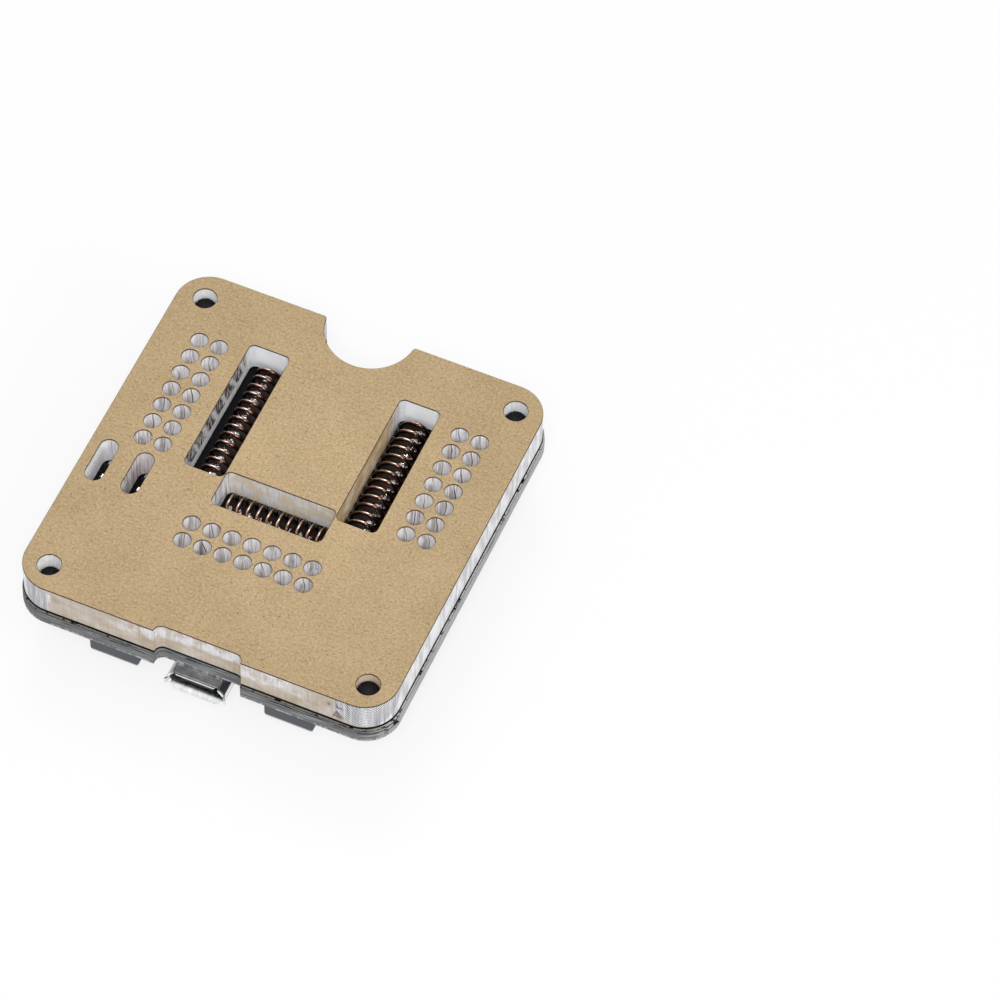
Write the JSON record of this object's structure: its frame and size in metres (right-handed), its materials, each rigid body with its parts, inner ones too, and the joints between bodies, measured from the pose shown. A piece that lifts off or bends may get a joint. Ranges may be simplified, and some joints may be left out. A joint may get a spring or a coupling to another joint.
{
  "type": "programming fixture",
  "caption": "Spring-contact programming fixture for a castellated radio module: paper-covered acrylic guide plate over a circuit board with pin headers, push buttons and a data socket.",
  "frame": {"origin": "middle of the four corner screws, on the top face of the paper", "axes": "+Z out of the paper face, +Y towards the finger notch, +X to the right when the notch is at the back"},
  "size_m": [0.047, 0.0491, 0.0149],
  "materials": {
    "kraft_paper": "matte, finely flecked",
    "clear_acrylic": "clear with frosted laser-cut edges",
    "board_laminate": "near-black solder mask",
    "black_steel": "black oxide",
    "spring_copper": "dark reddish spring wire",
    "solder": "bright solder",
    "black_plastic": "moulded",
    "gilt_pins": "gold flash",
    "plated_shell": "tin plated",
    "slate_plastic": "moulded",
    "steel_sheet": "stamped",
    "tinned_leads": "tinned",
    "button_plastic": "moulded",
    "white_plastic": "moulded",
    "moulded_epoxy": "moulded",
    "resistor_glaze": "glazed",
    "capacitor_ceramic": "fired",
    "lamp_epoxy": "translucent"
  },
  "bodies": {
    "fixture": {"protective_paper": "kraft_paper", "acrylic_plate": "clear_acrylic", "circuit_board": "board_laminate", "corner_screws": "black_steel", "left_contact_solder": "solder", "right_contact_solder": "solder", "front_contact_solder": "solder", "left_header_base": "black_plastic", "left_header_pins": "gilt_pins", "right_header_base": "black_plastic", "right_header_pins": "gilt_pins", "front_header_base": "black_plastic", "front_header_pins": "gilt_pins", "header_solder": "solder", "usb_shell": "plated_shell", "usb_insulator": "black_plastic", "usb_terminals": "gilt_pins", "boot_switch_base": "slate_plastic", "boot_switch_cover": "steel_sheet", "boot_switch_leads": "tinned_leads", "reset_switch_base": "slate_plastic", "reset_switch_cover": "steel_sheet", "reset_switch_leads": "tinned_leads", "power_switch_housing": "black_plastic", "power_switch_clip": "steel_sheet", "power_switch_terminals": "tinned_leads", "power_switch_solder": "solder", "serial_chip": "moulded_epoxy", "serial_chip_leads": "tinned_leads", "voltage_regulator": "moulded_epoxy", "regulator_leads": "tinned_leads", "transistors": "moulded_epoxy", "transistor_leads": "tinned_leads", "resistors": "resistor_glaze", "capacitors": "capacitor_ceramic", "status_leds": "lamp_epoxy", "passive_end_caps": "tinned_leads"},
    "left_contact_row": {"left_contacts": "spring_copper"},
    "right_contact_row": {"right_contacts": "spring_copper"},
    "front_contact_row": {"front_contacts": "spring_copper"},
    "boot_key": {"boot_button": "button_plastic"},
    "reset_key": {"reset_button": "button_plastic"},
    "power_key": {"power_plunger": "white_plastic"}
  },
  "joints": [
    {"name": "left_contacts_flex", "type": "hinge", "parent": "fixture", "child": "left_contact_row", "pos_m": [-0.0104, 0.00765, -0.00415], "axis": [0, -1, 0], "range_deg": [0, 10], "stiffness_Nm_per_rad": 0.05},
    {"name": "right_contacts_flex", "type": "hinge", "parent": "fixture", "child": "right_contact_row", "pos_m": [0.0104, 0.00765, -0.00415], "axis": [0, 1, 0], "range_deg": [0, 10], "stiffness_Nm_per_rad": 0.05},
    {"name": "front_contacts_flex", "type": "hinge", "parent": "fixture", "child": "front_contact_row", "pos_m": [0, -0.0039, -0.00415], "axis": [1, 0, 0], "range_deg": [0, 10], "stiffness_Nm_per_rad": 0.05},
    {"name": "boot_press", "type": "slide", "parent": "fixture", "child": "boot_key", "axis": [0, 0, 1], "range_m": [0, 0.00025], "stiffness_N_per_m": 800},
    {"name": "reset_press", "type": "slide", "parent": "fixture", "child": "reset_key", "axis": [0, 0, 1], "range_m": [0, 0.00025], "stiffness_N_per_m": 800},
    {"name": "power_press", "type": "slide", "parent": "fixture", "child": "power_key", "axis": [0, 0, 1], "range_m": [0, 0.0015], "stiffness_N_per_m": 600}
  ]
}
